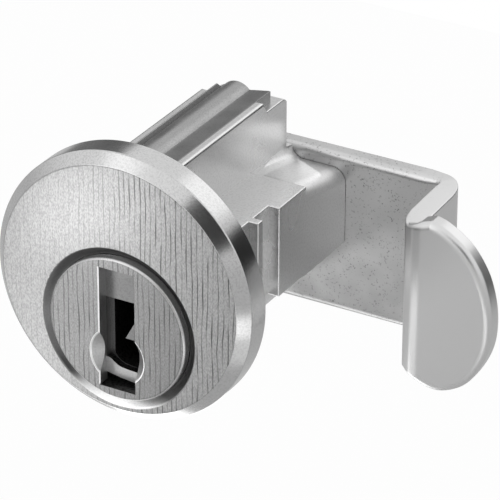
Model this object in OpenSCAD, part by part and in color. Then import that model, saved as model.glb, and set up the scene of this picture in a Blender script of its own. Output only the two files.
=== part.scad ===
// Five pin mailbox cam lock with a round bevelled bezel and a forward hook cam.
// Row frame in mm: +Z up, lock axis along Y, bezel faces -Y, cam points to +X.
// The origin is the centre of the bezel on the face that seats on the door.

/* [Bezel] */
// Outside diameter of the bezel
bezel_dia = 27; // [25:0.1:30]
// Height of the straight rim above the door
bezel_rim = 2.47; // [2:0.01:3.2]
// Width and height of the 45 degree bevel
bezel_bevel = 1.06; // [0.4:0.01:1.2]
// Diameter of the cove's wall round the plug
cove_dia = 15.9; // [15.6:0.02:16.2]
// Rounding of the bezel's edge round the cove
cove_lip = 0.25; // [0.1:0.05:0.3]

/* [Case] */
// Length of the case behind the door face
case_length = 22.9; // [22.6:0.1:26]
// Width of the shank between the clip grooves
shank_width = 16.1; // [15.4:0.1:17]
// Width across the wings behind the clip groove
wing_width = 18.4; // [17.6:0.1:19.4]
// Height of the wing top above the bezel centre
wing_top = 4.75; // [4.2:0.05:5.2]
// Depth of the wing underside below the bezel centre
wing_bottom = 4.6; // [4.2:0.05:5]
// Distance from the door face to the small front lip
lip_front = 6.4; // [5:0.1:7]
// Thickness of the small front lip along the lock
lip_thickness = 0.95; // [0.6:0.05:1.4]
// Width of the clip groove along the lock
groove_width = 2.75; // [1.8:0.05:3]
// Length of the machined front part of the wings
machined_length = 5.2; // [4:0.1:6]
// Width of the pin housing on top of the case
housing_width = 6.8; // [6.6:0.05:7.4]
// Height of the pin housing above the bezel centre
housing_top = 11.05; // [10.8:0.05:11.4]
// Drop from the housing top to the blocks behind the lips
block_drop = 1.15; // [0.9:0.05:1.4]
// Distance from the back of the housing to the back of the case
rear_step = 0.78; // [0.5:0.02:1.2]
// Wall thickness of the shell under the plug
shell_wall = 0.8; // [0.7:0.05:1.1]
// Drop of the wings' cast top toward the rear
cast_drop = 1.58; // [0.8:0.02:1.8]
// Rounding of the wings' outer cast corners
cast_corner = 1.5; // [0.8:0.1:1.8]
// Hollow fillet between the cast wings and the pin housing
cast_fillet = 1.25; // [0.6:0.05:1.5]

/* [Cover] */
// Width of the chamber cover and of its channel
cover_width = 5.3; // [4.8:0.05:5.5]
// Length of the chamber cover
cover_length = 19; // [18.6:0.1:19.4]
// Radius of the cover's round rib
cover_rib_r = 1.78; // [1.7:0.01:1.8]
// Rise of the cover's flange above the housing top
cover_rise = 0; // [0:0.01:0.1]
// Depth of the channel under the housing top
channel_depth = 1.5; // [1.2:0.05:1.7]

/* [Plug] */
// Distance of the plug axis below the bezel centre
plug_offset = 3.93; // [3.8:0.01:4]
// Diameter of the plug body
plug_dia = 12.4; // [12:0.05:12.5]
// Diameter of the plug head at the face
plug_head_dia = 14.5; // [14:0.02:14.8]
// Height of the plug face above the bezel face
plug_proud = 0.36; // [0.1:0.02:0.6]
// Length of the plug head
plug_head_length = 2.4; // [2:0.05:2.6]
// Rounding of the plug head's front edge
head_edge = 0.3; // [0.1:0.05:0.5]
// Running gap of the plug in its bore, on the radius
plug_clear = 0.05; // [0.03:0.01:0.09]
// Width of the slot across the plug face
slot_width = 3.74; // [3.4:0.02:4]
// Depth of the slot down to its front step
slot_depth = 1.3; // [1:0.05:1.5]
// Width of the keyway
keyway_width = 2.4; // [2.3:0.02:2.5]
// Top of the keyway above the plug axis
keyway_top = 2.5; // [2.3:0.05:2.8]
// Bottom of the keyway below the plug axis
keyway_bottom = 5.15; // [4.9:0.05:5.3]
// Depth of the keyway lead in behind the front step
mouth_depth = 0.84; // [0.6:0.02:0.9]
// Height of the lead in's ledge under the keyway
mouth_ledge = 0.15; // [0.1:0.05:0.3]
// Lower end of the front step below the plug axis
step_bottom = 6; // [5.7:0.05:6.2]
// Diameter of the countersink in the plug face
countersink_dia = 5.7; // [5.2:0.05:6]
// Distance of the countersink below the plug axis
countersink_drop = 2.82; // [2.6:0.02:3]

/* [Pins] */
// Diameter of all pins
pin_dia = 2.5; // [2.3:0.05:2.6]
// Radial gap of a pin in its chamber
pin_clear = 0.05; // [0.03:0.01:0.08]
// Distance from the door face to the first pin
first_pin = 2.9; // [2.7:0.05:3.1]
// Spacing of the pins
pin_pitch = 3.5; // [3.3:0.05:3.55]
// Length of the driver pins
driver_length = 3.8; // [3.4:0.05:4]
// Length of the shortest key pin
key_pin_base = 4.4; // [4.2:0.05:4.6]
// Change of length from one key cut to the next
cut_step = 0.35; // [0.25:0.01:0.38]
// Key cut of the first pin
cut_1 = 2; // [0:1:4]
// Key cut of the second pin
cut_2 = 4; // [0:1:4]
// Key cut of the third pin
cut_3 = 1; // [0:1:4]
// Key cut of the fourth pin
cut_4 = 3; // [0:1:4]
// Key cut of the fifth pin
cut_5 = 2; // [0:1:4]
// Wire diameter of the pin springs
spring_wire = 0.3; // [0.24:0.02:0.36]

/* [Cam] */
// Thickness of the cam plate
cam_thickness = 1.9; // [1.6:0.05:2.2]
// Height of the cam plate
cam_height = 16.8; // [15:0.1:17.6]
// Distance from the plug axis to the inside of the cam flange
cam_reach = 19.2; // [17:0.1:22]
// Distance the hook tab stands in front of the cam plate
cam_forward = 8.8; // [7.6:0.1:10]
// Radius of the round edge of the hook tab
tab_radius = 10.2; // [9.2:0.05:10.6]
// Full height of the hook tab where it leaves the flange
tab_height = 17.7; // [16.8:0.1:18.4]
// Distance of the tab's round edge below the plug axis
tab_drop = 0.4; // [0:0.05:0.5]
// Distance of the tab arc's centre beyond the inside of the flange
tab_shift = -0.3; // [-1:0.05:1]
// Inside radius of the cam bends
bend_radius = 0.5; // [0.3:0.05:0.8]
// Rolled edge radius of the stamped cam
edge_roll = 0.75; // [0.3:0.05:0.9]
// Gap between the case and the cam
cam_gap = 0.1; // [0.05:0.01:0.2]

/* [Fastening] */
// Thickness of the stop washer
stop_thickness = 1.5; // [1.3:0.05:1.6]
// Width of the lug on the stop washer
lug_width = 2.4; // [2:0.05:2.8]
// Diameter of the plug tail
tail_dia = 8.4; // [8:0.05:8.8]
// Distance across the flats of the plug tail
tail_flats = 6.2; // [6:0.05:6.6]
// Gap between the tail and the pieces on it
tail_clear = 0.04; // [0.03:0.01:0.08]
// Diameter of the cam screw
screw_dia = 4; // [3.8:0.05:4.2]
// Diameter of the cam screw head
screw_head_dia = 7.6; // [7.2:0.05:8]
// Thickness of the lock washer
lock_washer_thickness = 0.8; // [0.6:0.05:1]

/* [Hidden] */
$fn = 64;
eps = 0.01;
bezel_r = bezel_dia / 2;
face_y = -bezel_rim - bezel_bevel;
plug_z = -plug_offset;
plug_r = plug_dia / 2;
head_r = plug_head_dia / 2;
bore_r = plug_r + plug_clear;
shell_r = bore_r + shell_wall;
plug_face_y = face_y - plug_proud;
shoulder_y = plug_face_y + plug_head_length;
seat_y = shoulder_y + 0.05;
head_bore_r = head_r + plug_clear;
cove_r = cove_dia / 2;
half_shank = shank_width / 2;
half_wing = wing_width / 2;
half_housing = housing_width / 2;
wing_front_y = lip_front + lip_thickness + groove_width;
machined_end_y = wing_front_y + machined_length;
cast_angle = atan(cast_drop / (case_length - machined_end_y));
channel_floor = housing_top - channel_depth;
channel_front = 1;
channel_end = channel_front + cover_length;
cover_valley = housing_top - 0.35;
rib_start = 2.2;
cover_rib_x = -0.95;
cover_rib_z = housing_top - 1.55;
cover_foot = 1.4;
cover_notch = 0.6;
cover_lip = 0.12;
cover_lip_rise = 0.04;
cover_flange = 0.25;
cover_slope = 1.1;
lip_end_y = channel_end - 2.7;
lip_foot_y = lip_end_y + 0.7;
block_top = housing_top - block_drop;
housing_rear_y = case_length - rear_step;
rear_corner = 1.2;
rear_edge = 0.5;
cam_y = case_length + cam_gap;
stop_y = cam_y - stop_thickness;
tail_end_y = cam_y + cam_thickness - 0.15;
washer_y = cam_y + cam_thickness;
screw_y = washer_y + lock_washer_thickness;
keyway_end = first_pin + 4 * pin_pitch + 2;
screw_tip_y = keyway_end + 1;
stop_r = bore_r - 0.25;
lug_r = plug_r + 1.35;
lug_angle = 20;
turn = 90;
shear_z = plug_z + plug_r;
chamber_r = pin_dia / 2 + pin_clear;
chamber_floor = plug_z - 0.5;
cuts = [cut_1, cut_2, cut_3, cut_4, cut_5];
driver_seat = shear_z + 0.02;
tab_y = cam_y - cam_forward;
tab_x = cam_reach + tab_shift;
half_tab = tab_height / 2;
flange_out = cam_reach + cam_thickness;
half_cam = cam_height / 2;
flange_end = flange_out + bend_radius;
neck_y = tab_y + cam_thickness;
flange_fall = 0.6;
flange_lean = atan(0.45 / cam_forward);

// Prism along Y from a drawing whose x and y are the row's X and Z
module prism_y(y0, y1) {
    translate([0, y1, 0])
        rotate([90, 0, 0])
            linear_extrude(y1 - y0)
                children();
}

// Bar along X from a drawing whose x and y are the row's Y and Z
module bar_x(x0, x1) {
    translate([x0, 0, 0])
        rotate([90, 0, 90])
            linear_extrude(x1 - x0)
                children();
}

// Round bar along Y round the bezel centre line
module rod_y(y0, y1, r, x = 0, z = 0) {
    translate([x, y0, z])
        rotate([-90, 0, 0])
            cylinder(h = y1 - y0, r = r);
}

// Turned piece about a line along Y, drawn as radius and distance along Y
module turned_y(x = 0, z = 0) {
    translate([x, 0, z])
        rotate([-90, 0, 0])
            rotate_extrude()
                children();
}

// Bezel
module bezel_solid() {
    turned_y()
        polygon([
            [0, 0],
            [bezel_r, 0],
            [bezel_r, -bezel_rim],
            [bezel_r - bezel_bevel, face_y],
            [0, face_y]
        ]);
}

// Section of the machined front of the case
module shank_section(half) {
    translate([-half, -wing_bottom])
        square([2 * half, wing_bottom + wing_top]);
}

// Wing section with one rounded outer corner on each side
module cast_section() {
    bottom = -wing_bottom - 3;
    translate([-half_wing + cast_corner, bottom])
        square([2 * (half_wing - cast_corner), wing_top - bottom]);
    translate([-half_wing, bottom])
        square([2 * half_wing, wing_top - cast_corner - bottom]);
    for (s = [-1, 1])
        translate([s * (half_wing - cast_corner), wing_top - cast_corner])
            circle(cast_corner);
}

// Hollow fillet between the wing and the housing wall
module cast_fillet_section() {
    half = half_housing + cast_fillet;
    difference() {
        translate([-half, wing_top - cast_corner])
            square([2 * half, cast_corner + cast_fillet]);
        for (s = [-1, 1])
            translate([s * half, wing_top + cast_fillet])
                circle(cast_fillet);
    }
}

// Cast rear of the wings, dropping toward the back and cut off at the machined top
module cast_wings() {
    length = case_length - machined_end_y;
    intersection() {
        translate([0, machined_end_y, wing_top])
            rotate([-cast_angle, 0, 0])
                translate([0, -machined_end_y, -wing_top]) {
                    prism_y(machined_end_y - 3, case_length + 3)
                        cast_section();
                    prism_y(machined_end_y - 3, case_length + 3)
                        cast_fillet_section();
                }
        translate([-half_wing - 1, machined_end_y - eps, -wing_bottom])
            cube([2 * half_wing + 2, length + eps, wing_bottom + wing_top]);
    }
}

// Side view of the pin housing: full height up to the lips' end, then lower blocks
module housing_side() {
    polygon([
        [0, 0],
        [housing_rear_y - rear_corner, 0],
        [housing_rear_y - rear_corner, block_top],
        [lip_foot_y, block_top],
        [lip_end_y, housing_top],
        [0, housing_top]
    ]);
    square([housing_rear_y, block_top - rear_corner]);
    translate([housing_rear_y - rear_corner, block_top - rear_corner])
        circle(rear_corner);
}

// Top view of the pin housing, with its rounded rear edges
module housing_plan() {
    translate([-half_housing, 0])
        square([housing_width, housing_rear_y - rear_edge]);
    translate([-half_housing + rear_edge, 0])
        square([housing_width - 2 * rear_edge, housing_rear_y]);
    for (s = [-1, 1])
        translate([s * (half_housing - rear_edge), housing_rear_y - rear_edge])
            circle(rear_edge);
}

// Pin housing with its lowered rear end
module housing() {
    intersection() {
        bar_x(-half_housing, half_housing)
            housing_side();
        linear_extrude(housing_top)
            housing_plan();
    }
}

// Stop pocket at the back of the case
module stop_pocket() {
    pocket_r = lug_r + 0.1;
    steps = 8;
    reach = pocket_r + 3;
    rod_y(stop_y - 0.08, case_length + 1, bore_r, 0, plug_z);
    intersection() {
        rod_y(stop_y - 0.08, case_length + 1, pocket_r, 0, plug_z);
        translate([0, 0, plug_z])
            prism_y(stop_y - 0.2, case_length + 2) {
                polygon(concat([[0, 0]], [
                    for (i = [0:steps])
                        reach * [cos(lug_angle + turn * i / steps), sin(lug_angle + turn * i / steps)]
                ]));
                for (a = [lug_angle, lug_angle + turn])
                    rotate(a)
                        translate([0, -lug_width / 2 - 0.02])
                            square([reach, lug_width + 0.04]);
            }
    }
}

// Cove and bores for the plug
module plug_space() {
    turned_y(0, plug_z) {
        translate([head_bore_r, face_y + cove_lip])
            circle(cove_r - head_bore_r);
        translate([0, face_y - 1])
            square([cove_r, 1 + cove_lip]);
        difference() {
            translate([cove_r - eps, face_y - 1])
                square([cove_lip + eps, 1 + cove_lip]);
            translate([cove_r + cove_lip, face_y + cove_lip])
                circle(cove_lip);
        }
    }
    rod_y(face_y - 1, seat_y, head_bore_r, 0, plug_z);
    rod_y(seat_y - 1, case_length + 1, bore_r, 0, plug_z);
}

module case() {
    color([0.72, 0.72, 0.71])
        difference() {
            union() {
                bezel_solid();
                prism_y(0, wing_front_y + 0.2)
                    shank_section(half_shank);
                prism_y(lip_front, lip_front + lip_thickness)
                    shank_section(half_wing - 0.15);
                prism_y(wing_front_y, machined_end_y)
                    shank_section(half_wing);
                cast_wings();
                housing();
                rod_y(0, case_length, shell_r, 0, plug_z);
            }
            plug_space();
            stop_pocket();
            translate([-cover_width / 2, channel_front, channel_floor])
                cube([cover_width, cover_length, 4]);
            for (i = [0:4])
                translate([0, first_pin + i * pin_pitch, plug_z])
                    cylinder(h = channel_floor - plug_z + 1, r = chamber_r);
        }
}

// Section of the cover: a round rib between a small flange on the left and a wide one on the right
module cover_section() {
    half = cover_width / 2;
    polygon([
        [-half, channel_floor],
        [half, channel_floor],
        [half, housing_top + cover_rise],
        [half - cover_flange, housing_top + cover_rise],
        [cover_rib_x + cover_foot, cover_valley],
        [cover_rib_x - cover_foot / 2, cover_valley],
        [cover_rib_x - cover_foot, housing_top - cover_notch],
        [-half + cover_lip, housing_top + cover_lip_rise],
        [-half, housing_top + cover_lip_rise]
    ]);
    intersection() {
        translate([cover_rib_x, cover_rib_z])
            circle(cover_rib_r);
        translate([-half, channel_floor])
            square([cover_width, 2 * cover_rib_r]);
    }
}

// Ribbed strip that closes the pin chambers. It lies flat where it passes the door sheet.
module chamber_cover() {
    half = cover_width / 2;
    color([0.66, 0.66, 0.65]) {
        difference() {
            prism_y(rib_start, channel_end)
                cover_section();
            bar_x(-cover_width, cover_rib_x - cover_foot)
                polygon([
                    [channel_end - cover_slope, housing_top + cover_lip_rise],
                    [channel_end + eps, housing_top - cover_slope],
                    [channel_end + cover_slope, housing_top + cover_slope],
                    [channel_end - cover_slope, housing_top + cover_slope]
                ]);
        }
        prism_y(channel_front, rib_start + eps)
            intersection() {
                cover_section();
                translate([-cover_width, 0])
                    square([2 * cover_width, cover_valley]);
            }
    }
}

// Keyway drawn round the plug axis
module keyway_section() {
    half = keyway_width / 2;
    round_z = half - keyway_bottom + mouth_ledge;
    difference() {
        union() {
            translate([-half, round_z])
                square([keyway_width, keyway_top - round_z]);
            translate([0, round_z])
                circle(half);
        }
        polygon([[half + 1, 1.1], [half, 0.83], [-0.3, -1.9], [half + 1, -1.9]]);
    }
}

// Lead in round the mouth of the keyway
module mouth_section() {
    half = slot_width / 2;
    translate([-half, -keyway_bottom + half])
        square([slot_width, keyway_top + keyway_bottom - half]);
    translate([0, -keyway_bottom + half])
        circle(half);
}

module tail_section(extra) {
    intersection() {
        circle(tail_dia / 2 + extra);
        square([tail_dia + 2, tail_flats + 2 * extra], center = true);
    }
}

module plug() {
    step_y = plug_face_y + slot_depth;
    color([0.74, 0.74, 0.72])
        difference() {
            union() {
                turned_y(0, plug_z) {
                    translate([0, plug_face_y])
                        square([head_r - head_edge, plug_head_length]);
                    translate([0, plug_face_y + head_edge])
                        square([head_r, plug_head_length - head_edge]);
                    translate([head_r - head_edge, plug_face_y + head_edge])
                        circle(head_edge);
                    translate([0, plug_face_y + head_edge])
                        square([plug_r, stop_y - plug_face_y - head_edge]);
                }
                translate([0, 0, plug_z])
                    prism_y(stop_y - 1, tail_end_y)
                        tail_section(0);
            }
            translate([0, 0, plug_z]) {
                prism_y(plug_face_y - 1, step_y)
                    translate([-slot_width / 2, -head_r - 1])
                        square([slot_width, 2 * head_r + 2]);
                prism_y(plug_face_y - 1, shoulder_y - 0.6)
                    translate([-slot_width / 2, -head_r - 1])
                        square([slot_width, head_r + 1 - step_bottom]);
                prism_y(step_y - 1, step_y + mouth_depth)
                    mouth_section();
                prism_y(step_y, keyway_end)
                    keyway_section();
                turned_y(0, -countersink_drop)
                    polygon([
                        [0, plug_face_y - 1],
                        [countersink_dia / 2 + 1, plug_face_y - 1],
                        [0, plug_face_y + countersink_dia / 2]
                    ]);
                rod_y(screw_tip_y - 0.3, tail_end_y + 1, screw_dia / 2 + 0.02);
            }
            for (i = [0:4])
                translate([0, first_pin + i * pin_pitch, chamber_floor])
                    cylinder(h = plug_r + 3, r = chamber_r);
        }
}

module stop_washer() {
    color([0.6, 0.6, 0.58])
        translate([0, 0, plug_z])
            prism_y(stop_y, cam_y)
                difference() {
                    union() {
                        circle(stop_r);
                        intersection() {
                            circle(lug_r);
                            rotate(lug_angle)
                                translate([0, -lug_width / 2])
                                    square([lug_r + 1, lug_width]);
                        }
                    }
                    tail_section(tail_clear);
                }
}

// Plate section with rolled front edges, centred on the plug axis
module plate_section(y0, half) {
    translate([y0, -half + edge_roll])
        square([cam_thickness, 2 * half - 2 * edge_roll]);
    translate([y0 + edge_roll, -half])
        square([cam_thickness - edge_roll, 2 * half]);
    for (s = [-1, 1])
        translate([y0 + edge_roll, s * (half - edge_roll)])
            circle(edge_roll);
}

// Half section of a round plate with a rolled front edge
module disc_section(y0, r) {
    translate([0, y0])
        square([r - edge_roll, cam_thickness]);
    translate([0, y0 + edge_roll])
        square([r, cam_thickness - edge_roll]);
    translate([r - edge_roll, y0 + edge_roll])
        circle(edge_roll);
}

// The two bends and the flange between them
module flange_section() {
    outer = bend_radius + cam_thickness;
    difference() {
        union() {
            translate([cam_reach - bend_radius, cam_y - bend_radius])
                intersection() {
                    circle(outer);
                    square([outer, outer]);
                }
            translate([cam_reach, tab_y + outer])
                square([cam_thickness, cam_forward - cam_thickness - 2 * bend_radius]);
            translate([flange_out + bend_radius, tab_y + outer])
                intersection() {
                    circle(outer);
                    translate([-outer, -outer])
                        square([outer, outer]);
                }
        }
        translate([cam_reach - bend_radius, cam_y - bend_radius])
            circle(bend_radius);
        translate([flange_out + bend_radius, tab_y + outer])
            circle(bend_radius);
    }
}

// Space above the flange, whose edge leans outward and falls toward the tab
module above_flange() {
    translate([0, cam_y, half_cam])
        rotate([flange_lean, 0, 0])
            translate([0, -cam_y, 0])
                prism_y(tab_y - 2, cam_y + cam_thickness + 1)
                    polygon([
                        [cam_reach - 1, 0],
                        [cam_reach, 0],
                        [cam_reach + 3 * cam_thickness, -3 * flange_fall],
                        [cam_reach + 3 * cam_thickness, 3],
                        [cam_reach - 1, 3]
                    ]);
}

// Space above the neck, where the tab widens out of the bend
module above_neck() {
    prism_y(tab_y - 1, neck_y)
        polygon([
            [cam_reach - 1, half_tab - 2],
            [cam_reach + 1, half_tab - 1.25],
            [cam_reach + 1.8, half_tab - 0.65],
            [cam_reach + 2.5, half_tab - 0.35],
            [cam_reach + 3.3, half_tab - 0.15],
            [cam_reach + 4, half_tab + 0.01],
            [cam_reach + 4, half_tab + 2],
            [cam_reach - 1, half_tab + 2]
        ]);
}

module cam() {
    color([0.7, 0.71, 0.7])
        translate([0, 0, plug_z])
            difference() {
                union() {
                    bar_x(0, cam_reach - bend_radius)
                        plate_section(cam_y, half_cam);
                    turned_y()
                        disc_section(cam_y, half_cam);
                    translate([0, 0, -half_tab])
                        linear_extrude(tab_height)
                            flange_section();
                    intersection() {
                        bar_x(flange_end, tab_x + tab_radius + 1)
                            plate_section(tab_y, half_tab);
                        turned_y(tab_x, -tab_drop)
                            disc_section(tab_y, tab_radius);
                    }
                }
                for (s = [0, 1])
                    mirror([0, 0, s]) {
                        intersection() {
                            above_flange();
                            above_neck();
                        }
                        intersection() {
                            above_flange();
                            translate([cam_reach - 1, neck_y, 0])
                                cube([cam_thickness + 2, cam_forward + 1, cam_height]);
                        }
                        translate([cam_reach - 1, cam_y - bend_radius, half_cam])
                            cube([cam_thickness + 2, cam_thickness + 2, 2]);
                    }
                prism_y(cam_y - 1, cam_y + cam_thickness + 1)
                    tail_section(tail_clear);
            }
}

// Split spring washer under the screw head
module lock_washer() {
    outer = screw_head_dia / 2 + 0.2;
    color([0.5, 0.5, 0.5])
        translate([0, 0, plug_z])
            prism_y(washer_y, screw_y)
                difference() {
                    circle(outer);
                    circle(screw_dia / 2 + 0.15);
                    rotate(70)
                        translate([0, -0.3])
                            square([outer + 1, 0.6]);
                }
}

module cam_screw() {
    head_r2 = screw_head_dia / 2;
    color([0.68, 0.68, 0.66])
        translate([0, 0, plug_z])
            difference() {
                turned_y()
                    polygon([
                        [0, screw_tip_y],
                        [screw_dia / 2 - 0.4, screw_tip_y],
                        [screw_dia / 2, screw_tip_y + 0.4],
                        [screw_dia / 2, screw_y],
                        [head_r2, screw_y],
                        [head_r2, screw_y + 1.4],
                        [head_r2 - 0.25, screw_y + 1.9],
                        [head_r2 - 0.9, screw_y + 2.2],
                        [0, screw_y + 2.3]
                    ]);
                for (a = [0, 90])
                    rotate([0, a, 0])
                        translate([-2, screw_y + 0.9, -0.4])
                            cube([4, 3, 0.8]);
            }
}

function key_pin_length(i) = key_pin_base + cuts[i] * cut_step;

module key_pin(i) {
    length = key_pin_length(i);
    r = pin_dia / 2;
    color([0.78, 0.66, 0.36])
        translate([0, first_pin + i * pin_pitch, shear_z - 0.02 - length])
            rotate_extrude()
                polygon([
                    [0, 0],
                    [0.35, 0],
                    [r, r - 0.35],
                    [r, length - 0.25],
                    [r - 0.25, length],
                    [0, length]
                ]);
}

module driver_pin(i) {
    r = pin_dia / 2;
    color([0.78, 0.66, 0.36])
        translate([0, first_pin + i * pin_pitch, driver_seat])
            rotate_extrude()
                polygon([
                    [0, 0],
                    [r - 0.2, 0],
                    [r, 0.2],
                    [r, driver_length - 0.2],
                    [r - 0.2, driver_length],
                    [0, driver_length]
                ]);
}

// Coil spring between a driver pin and the cover
module pin_spring(i) {
    bottom = driver_seat + driver_length;
    top = channel_floor;
    wire = spring_wire / 2;
    mean = pin_dia / 2 - wire - 0.08;
    turns = 5;
    per_turn = 14;
    count = turns * per_turn;
    sides = 6;
    rise = top - bottom - spring_wire - 0.02;
    ring_points = [
        for (k = [0:count])
            for (j = [0:sides - 1])
                let (
                    a = 360 * k / per_turn,
                    z = bottom + wire + 0.01 + rise * k / count,
                    b = 360 * (j + 0.5) / sides,
                    d = mean + wire * cos(b)
                )
                [d * cos(a), d * sin(a), z + wire * sin(b)]
    ];
    side_faces = [
        for (k = [0:count - 1])
            for (j = [0:sides - 1])
                [
                    k * sides + j,
                    (k + 1) * sides + j,
                    (k + 1) * sides + (j + 1) % sides,
                    k * sides + (j + 1) % sides
                ]
    ];
    caps = [
        [for (j = [0:sides - 1]) j],
        [for (j = [0:sides - 1]) count * sides + sides - 1 - j]
    ];
    color([0.75, 0.75, 0.75])
        translate([0, first_pin + i * pin_pitch, 0])
            polyhedron(points = ring_points, faces = concat(side_faces, caps));
}

module key_pin_1() { key_pin(0); }
module key_pin_2() { key_pin(1); }
module key_pin_3() { key_pin(2); }
module key_pin_4() { key_pin(3); }
module key_pin_5() { key_pin(4); }
module driver_pin_1() { driver_pin(0); }
module driver_pin_2() { driver_pin(1); }
module driver_pin_3() { driver_pin(2); }
module driver_pin_4() { driver_pin(3); }
module driver_pin_5() { driver_pin(4); }
module pin_spring_1() { pin_spring(0); }
module pin_spring_2() { pin_spring(1); }
module pin_spring_3() { pin_spring(2); }
module pin_spring_4() { pin_spring(3); }
module pin_spring_5() { pin_spring(4); }

case();
chamber_cover();
plug();
stop_washer();
cam();
lock_washer();
cam_screw();
key_pin_1();
key_pin_2();
key_pin_3();
key_pin_4();
key_pin_5();
driver_pin_1();
driver_pin_2();
driver_pin_3();
driver_pin_4();
driver_pin_5();
pin_spring_1();
pin_spring_2();
pin_spring_3();
pin_spring_4();
pin_spring_5();
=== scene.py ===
import math
import bmesh
import bpy
from mathutils import Matrix, Vector
from mathutils.geometry import delaunay_2d_cdt


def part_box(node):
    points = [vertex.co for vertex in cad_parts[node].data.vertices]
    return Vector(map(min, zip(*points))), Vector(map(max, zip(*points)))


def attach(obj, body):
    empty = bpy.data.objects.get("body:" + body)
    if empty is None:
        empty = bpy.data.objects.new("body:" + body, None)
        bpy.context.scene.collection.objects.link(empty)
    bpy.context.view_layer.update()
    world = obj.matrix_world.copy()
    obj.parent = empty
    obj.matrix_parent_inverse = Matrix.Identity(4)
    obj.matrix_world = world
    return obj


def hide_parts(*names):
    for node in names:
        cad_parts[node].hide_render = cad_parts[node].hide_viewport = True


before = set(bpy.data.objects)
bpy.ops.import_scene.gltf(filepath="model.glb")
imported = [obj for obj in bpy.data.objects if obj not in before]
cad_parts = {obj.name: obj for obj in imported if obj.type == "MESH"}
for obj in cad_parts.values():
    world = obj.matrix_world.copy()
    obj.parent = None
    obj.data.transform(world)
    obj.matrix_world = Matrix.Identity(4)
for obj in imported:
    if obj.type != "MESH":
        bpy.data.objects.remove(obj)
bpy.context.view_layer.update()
mm = 0.001

# Shapes are drawn in millimetres in the lock's own frame, and become metres when a piece is done.
# +Z is up, the lock runs along Y, and the bezel faces -Y.


def nodeBox(name):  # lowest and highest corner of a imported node, in mm
    low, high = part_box(name)
    return low / mm, high / mm


caseLow, caseHigh = nodeBox("case")
plugLow, plugHigh = nodeBox("plug")
camLow, camHigh = nodeBox("cam")
coverHigh = nodeBox("chamber_cover")[1]
screwLow, screwHigh = nodeBox("cam_screw")
washerLow, washerHigh = nodeBox("lock_washer")
plugZ = (plugLow.z + plugHigh.z) / 2  # height of the plug's axis
plugHeadR = plugHigh.x
plugBodyR = 6.2  # the barrel behind the head
coverHalf = coverHigh.x
overlap = 0.5  # how far bodies that are joined reach into each other
clear = 1  # how far a cutting tool reaches past what it cuts
near = 0.02  # faces closer than this to a surface belong to it
facing = 0.95  # least part of a normal along an axis for a face that looks that way


# Drawing tools

def arc(cx, cy, r, start, end, steps):
    angles = [math.radians(start + (end - start) * i / steps) for i in range(steps + 1)]
    return [(cx + r * math.cos(a), cy + r * math.sin(a)) for a in angles]


def flatted(dia, flats, steps):  # round outline with a flat above and below
    ring = arc(0, 0, dia / 2, 0, 360, steps)[:-1]
    return [(x, max(-flats / 2, min(flats / 2, z))) for x, z in ring]


def boxOutline(half, low, high):
    return [(-half, low), (half, low), (half, high), (-half, high)]


def onPlug(outline):  # moves an (x, z) outline to the plug's axis
    return [(x, z + plugZ) for x, z in outline]


def meshObject(name, points, faces):
    mesh = bpy.data.meshes.new(name)
    mesh.from_pydata([tuple(p) for p in points], [], faces)
    bm = bmesh.new()
    bm.from_mesh(mesh)
    bmesh.ops.recalc_face_normals(bm, faces=bm.faces)
    bm.to_mesh(mesh)
    bm.free()
    made = bpy.data.objects.new(name, mesh)
    bpy.context.scene.collection.objects.link(made)
    return made


def loft(name, rings):  # closed skin over rings of equal count, with a cap at each end
    count = len(rings[0])
    points = [p for ring in rings for p in ring]
    faces = []
    for k in range(len(rings) - 1):
        for i in range(count):
            j = (i + 1) % count
            faces.append((k * count + i, k * count + j, (k + 1) * count + j, (k + 1) * count + i))
    faces.append(tuple(range(count)))
    last = (len(rings) - 1) * count
    faces.append(tuple(last + i for i in range(count)))
    return meshObject(name, points, faces)


def prismY(name, outline, y0, y1):  # outline holds (x, z)
    return loft(name, [[(x, y, z) for x, z in outline] for y in (y0, y1)])


def prismX(name, outline, x0, x1):  # outline holds (y, z)
    return loft(name, [[(x, y, z) for y, z in outline] for x in (x0, x1)])


def prismZ(name, outline, z0, z1):  # outline holds (x, y)
    return loft(name, [[(x, y, z) for x, y in outline] for z in (z0, z1)])


def turnedUp(name, r, y, z0, z1):  # upright round bar
    return prismZ(name, [(x, y + b) for x, b in arc(0, 0, r, 0, 360, 32)[:-1]], z0, z1)


def turned(name, profile, x=0.0, z=0.0, steps=192):  # profile holds (radius, y), from axis to axis
    points = []
    rings = []
    for r, y in profile:
        if r < 1e-6:
            rings.append([len(points)])
            points.append((x, y, z))
            continue
        rings.append([len(points) + i for i in range(steps)])
        for i in range(steps):
            a = 2 * math.pi * (i + 0.5) / steps
            points.append((x + r * math.cos(a), y, z + r * math.sin(a)))
    faces = []
    for a, b in zip(rings, rings[1:]):
        for i in range(steps):
            j = (i + 1) % steps
            corners = [a[i % len(a)], a[j % len(a)], b[j % len(b)], b[i % len(b)]]
            face = tuple(dict.fromkeys(corners))
            if len(face) > 2:
                faces.append(face)
    return meshObject(name, points, faces)


def baked(piece):  # applies the modifiers
    view = bpy.context.evaluated_depsgraph_get()
    made = bpy.data.meshes.new_from_object(piece.evaluated_get(view))
    piece.modifiers.clear()
    piece.data = made
    return piece


def combine(piece, tools, how):  # how is UNION, DIFFERENCE or INTERSECT
    for tool in tools:
        step = piece.modifiers.new("combine", "BOOLEAN")
        step.operation = how
        step.object = tool
        step.solver = "MANIFOLD"
        baked(piece)
        bpy.data.objects.remove(tool)
    return piece


def roundEdges(piece, width, segments=3, above=40):  # rounds the edges sharper than the angle above
    step = piece.modifiers.new("edges", "BEVEL")
    step.width = width
    step.segments = segments
    step.limit_method = "ANGLE"
    step.angle_limit = math.radians(above)
    step.use_clamp_overlap = False
    return baked(piece)


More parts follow.
